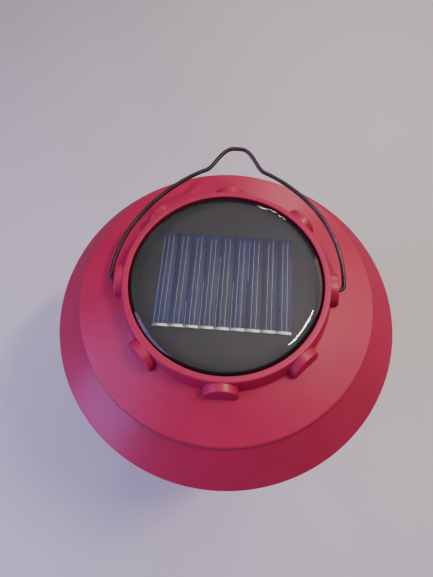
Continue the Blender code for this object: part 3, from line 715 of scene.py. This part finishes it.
# ---------------------------------------------------------------- bail
def bail_reach(angle):
    """Distance of the wire from the middle of the pivot line, at an angle from the bail's middle."""
    degrees = math.degrees(angle)
    offset = degrees - BUMP_MIDDLE
    flat, foot = BUMP_RIGHT if offset > 0 else BUMP_LEFT
    share = min(max((abs(offset) - flat) / (foot - flat), 0.0), 1.0)
    bump = BUMP_HEIGHT * 0.5 * (1 + math.cos(math.pi * share))
    arch = ARCH_HEIGHT * math.exp(-(degrees / ARCH_SPREAD) ** 2)
    return BAIL_RADIUS + BAIL_SHOULDER * math.sin(2 * angle) + arch + bump


def bail_foot(out):
    """The bend at one end of the wire and the straight end in the boss, for a side at distance out."""
    turns = [math.pi / 2 * k / 8 for k in range(1, 9)]
    bend = [(out - FOOT_BEND + FOOT_BEND * math.cos(a), FOOT_BEND - FOOT_BEND * math.sin(a)) for a in turns]
    return bend + [(WIRE_END + WIRE_CHAMFER, 0), (WIRE_END, 0)]


def bail_line():
    """Centreline in the bail's plane: x along the pivot line, y away from it."""
    start = math.asin(FOOT_BEND / FOOT_CIRCLE)
    steps = 90
    middle = []
    for step in range(2 * steps + 1):
        angle = (step / steps - 1) * (math.pi / 2 - start)
        reach = bail_reach(angle)
        middle.append((reach * math.sin(angle), reach * math.cos(angle)))
    left = [(-x, y) for x, y in reversed(bail_foot(-middle[0][0]))]
    return left + middle + bail_foot(middle[-1][0])


def make_bail():
    """The wire as a round tube along its centreline, chamfered at both ends."""
    up = Vector((0, -math.sin(BAIL_TILT), math.cos(BAIL_TILT)))
    line = [Vector((x, y * math.cos(BAIL_TILT), PIVOT_Z + y * math.sin(BAIL_TILT))) for x, y in bail_line()]
    bm = bmesh.new()
    rings = []
    last = len(line) - 1
    for index, point in enumerate(line):
        along = (line[min(index + 1, last)] - line[max(index - 1, 0)]).normalized()
        across = along.cross(up)
        radius = WIRE_RADIUS * (WIRE_END_TAPER if index in (0, last) else 1.0)
        rings.append([bm.verts.new(point + radius * (across * math.cos(a) + up * math.sin(a)))
                      for a in full_turn(16)])
    mesh = closed_tube(bm, rings, "bail_wire")
    add_piece("bail_wire", mesh, "bail", wire_steel(), ["bail"])


# ---------------------------------------------------------------- globe and base
def make_globe():
    """A bulging jar: the side is an arc between two straight necks, open at the top."""
    rise = GLOBE_HIGH.x - NECK_RADIUS
    half = (BULGE_HIGH - BULGE_LOW) / 2
    curve = (half ** 2 + rise ** 2) / (2 * rise)
    limit = math.asin(half / curve)
    middle = (BULGE_LOW + BULGE_HIGH) / 2

    def side(radius, steps):
        turns = [limit * (step / steps * 2 - 1) for step in range(steps + 1)]
        return [(GLOBE_HIGH.x - curve + radius * math.cos(a), middle + radius * math.sin(a)) for a in turns]

    bottom, top = GLOBE_LOW.z, GLOBE_HIGH.z
    inner = NECK_RADIUS - GLOBE_WALL
    lower_end = [(0, bottom, 0), (NECK_RADIUS, bottom, GLOBE_CORNER), (NECK_RADIUS, BULGE_LOW, 0)]
    upper_end = [(NECK_RADIUS, BULGE_HIGH, 0), (NECK_RADIUS, top, GLOBE_EDGE), (inner, top, GLOBE_EDGE),
                 (inner, BULGE_HIGH, 0)]
    outside = rounded(lower_end)[:-1] + side(curve, 40) + rounded(upper_end, 3)[1:-1]
    inside = list(reversed(side(curve - GLOBE_WALL, 20)))
    inside += [(inner, bottom + GLOBE_CORNER_INSIDE), (inner - GLOBE_CORNER, bottom + GLOBE_WALL),
               (0, bottom + GLOBE_WALL)]
    mesh = turned("globe_opal", outside + inside, segments=128, angle=60)
    add_piece("globe_opal", mesh, "lantern", opal(), ["globe"])


def base_outline():
    """The base's closed section: seat lip, two outer tiers, foot of the wall, inside, shelf and seat."""
    wide = BASE_HIGH.x
    top, bottom = BASE_HIGH.z, BASE_LOW.z
    lip = [(SEAT_RADIUS, top, 0.0006), (SEAT_RADIUS + SEAT_LIP, top, 0.0010)]
    foot = [(wide, bottom, 0.0006), (wide - WALL, bottom, 0), (wide - WALL, 0.0132, 0)]
    shelf = [(SEAT_RADIUS + WALL, SHELF_UNDER, 0), (SHELF_HOLE, SHELF_UNDER, 0), (SHELF_HOLE, SEAT_FLOOR, 0),
             (SEAT_RADIUS, SEAT_FLOOR, 0)]
    return rounded(lip + BASE_TIERS + foot + BASE_INSIDE + shelf)


def make_base():
    """The stepped base that the globe stands in."""
    mesh = turned("base_moulding", base_outline(), segments=144, angle=60)
    add_piece("base_moulding", mesh, "lantern", CRIMSON, ["base_shell"])


def make_feet():
    """Rubber pads with a shallow groove round the middle of the tread."""
    finish = rubber("foot_rubber", (0.020, 0.020, 0.021))
    for number in range(1, 4):
        low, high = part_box(f"base_foot_{number}")
        radius = (high.x - low.x) / 2
        groove = [(radius * 0.55, 0, 0.0004), (radius * 0.62, 0.0004, 0.0003), (radius * 0.70, 0, 0.0004)]
        pad = rounded([(0, 0, 0)] + groove + [(radius, 0, 0.0008), (radius, high.z, 0), (0, high.z, 0)], 4)
        mesh = turned(f"foot_pad_{number}", pad, segments=48, angle=60)
        mesh.transform(Matrix.Translation(((low.x + high.x) / 2, (low.y + high.y) / 2, 0)))
        add_piece(f"foot_pad_{number}", mesh, "lantern", finish, [f"base_foot_{number}"])


# ---------------------------------------------------------------- carried-over CAD nodes
def paint(node, finish):
    """Gives a CAD node a finish in place of its own material."""
    part = frame["nodes"][node]
    part.data.materials.clear()
    part.data.materials.append(finish)


def paint_cad_nodes():
    """Finishes for the nodes that keep their CAD shape."""
    screw = bare_metal("zinc_steel", (0.60, 0.60, 0.61), 0.25, 0.4)
    contact = bare_metal("nickel_contact", (0.66, 0.63, 0.56), 0.2, 0.35)
    seal = rubber("seal_rubber", (0.55, 0.55, 0.53))
    yellow = phosphor()
    red_lead = moulded_plastic("lead_sleeve", (0.42, 0.03, 0.03), 0.4, 0.5)
    finishes = {
        "panel_board": panel_black(),
        "panel_adhesive": rubber("foam_tape", (0.03, 0.03, 0.03)),
        "light_window": window_plastic(),
        "led_board": circuit_board("white_board", (0.76, 0.76, 0.74)),
        "control_board": circuit_board("green_board", (0.012, 0.13, 0.055)),
        "charge_chip": BLACK,
        "inductor": rubber("ferrite", (0.035, 0.035, 0.038)),
        "battery_cradle": BLACK,
        "battery_cell": moulded_plastic("battery_sleeve", (0.02, 0.09, 0.32), 0.2, 0.32, 0.4),
        "battery_contact_positive": contact,
        "battery_contact_negative": contact,
        "push_switch": BLACK,
        "power_button": rubber("button_rubber", (0.022, 0.022, 0.024)),
        "globe_seal_top": seal,
        "globe_seal_bottom": seal,
        "underside_cover": WHITE,
        "base_floor": CRIMSON,
    }
    for use in ("panel", "battery", "switch", "led"):
        finishes[f"{use}_lead"] = red_lead
    for number in range(1, 7):
        finishes[f"led_{number}"] = yellow
    for number in range(1, 4):
        finishes[f"cover_screw_{number}"] = screw
        finishes[f"base_screw_{number}"] = screw
    for node, finish in finishes.items():
        paint(node, finish)


# ---------------------------------------------------------------- stage
def make_camera():
    """A close view from above the front, as a phone held over the lantern sees it."""
    data = bpy.data.cameras.new("camera")
    data.lens = 27.0
    data.sensor_width = 36.0
    data.clip_start = 0.01
    camera = in_scene("camera", data)
    eye = Vector((0.0018, -0.0918, TOP + 0.1968))
    target = Vector((-0.0049, -0.0004, TOP - 0.0126))
    level = (target - eye).to_track_quat("-Z", "Y").to_matrix().to_4x4()
    roll = Matrix.Rotation(math.radians(-1.33), 4, "Z")
    camera.matrix_world = Matrix.Translation(eye) @ level @ roll
    bpy.context.scene.camera = camera


def area_light(name, place, size, power, colour, aim=(0, 0, TOP - 0.02), turn=0, spread=180):
    """A rectangular light that faces a point; turn spins it about its own axis, in degrees.

    A small light is left out of rays bent by the resin, where it would only add speckle.
    """
    data = bpy.data.lights.new(name, "AREA")
    data.shape = "RECTANGLE"
    data.size, data.size_y = size
    data.energy = power
    data.color = colour
    data.spread = math.radians(spread)
    light = in_scene(name, data)
    facing = (Vector(aim) - Vector(place)).to_track_quat("-Z", "Y").to_matrix().to_4x4()
    light.matrix_world = Matrix.Translation(place) @ facing @ Matrix.Rotation(math.radians(turn), 4, "Z")
    light.visible_transmission = min(size) > 0.25


def make_lights():
    """A narrow key, a wide dim ceiling, violet light from the left, warm from the right, and lamps behind."""
    lamp = (1.0, 0.76, 0.66)
    area_light("key", (0.450, 0.070, TOP + 0.740), (0.27, 0.06), 4.1, (1.0, 0.86, 0.76), turn=-41)
    area_light("ceiling", (0.27, 0.28, TOP + 0.90), (1.5, 1.5), 1.9, (1.0, 0.94, 0.96), aim=(0, 0, TOP),
               spread=90)
    area_light("window", (-0.66, -0.22, TOP + 0.46), (0.50, 0.50), 4.4, (0.52, 0.34, 1.0))
    area_light("low_window", (-0.58, -0.37, 0.17), (0.36, 0.30), 2.3, (0.36, 0.34, 1.0), aim=(0, 0, 0.19))
    area_light("warm", (0.70, 0.30, TOP + 0.38), (0.5, 0.4), 1.5, (1.0, 0.55, 0.42))
    area_light("lamp_1", (0.22, 0.93, TOP + 0.42), (0.06, 0.20), 0.9, lamp)
    area_light("lamp_2", (0.345, 0.915, TOP + 0.33), (0.08, 0.24), 1.4, lamp, turn=25)


def make_floor():
    """A wide pale floor, kept out of mirror reflections so that the dome stays dark."""
    bm = bmesh.new()
    bmesh.ops.create_grid(bm, x_segments=1, y_segments=1, size=6)
    floor = in_scene("floor", mesh_from(bm, "floor"))
    floor.data.materials.append(pale_floor())
    floor.visible_glossy = False


def make_world():
    """Faint cool light from all round."""
    world = bpy.data.worlds.new("studio")
    world.use_nodes = True
    background = world.node_tree.nodes["Background"]
    background.inputs["Color"].default_value = (0.86, 0.87, 1.0, 1.0)
    background.inputs["Strength"].default_value = 0.20
    bpy.context.scene.world = world


def main():
    make_camera()
    make_floor()
    make_world()
    make_lights()
    make_hood()
    make_resin()
    make_cells()
    make_tabs()
    make_bail()
    make_globe()
    make_base()
    make_feet()
    paint_cad_nodes()


main()
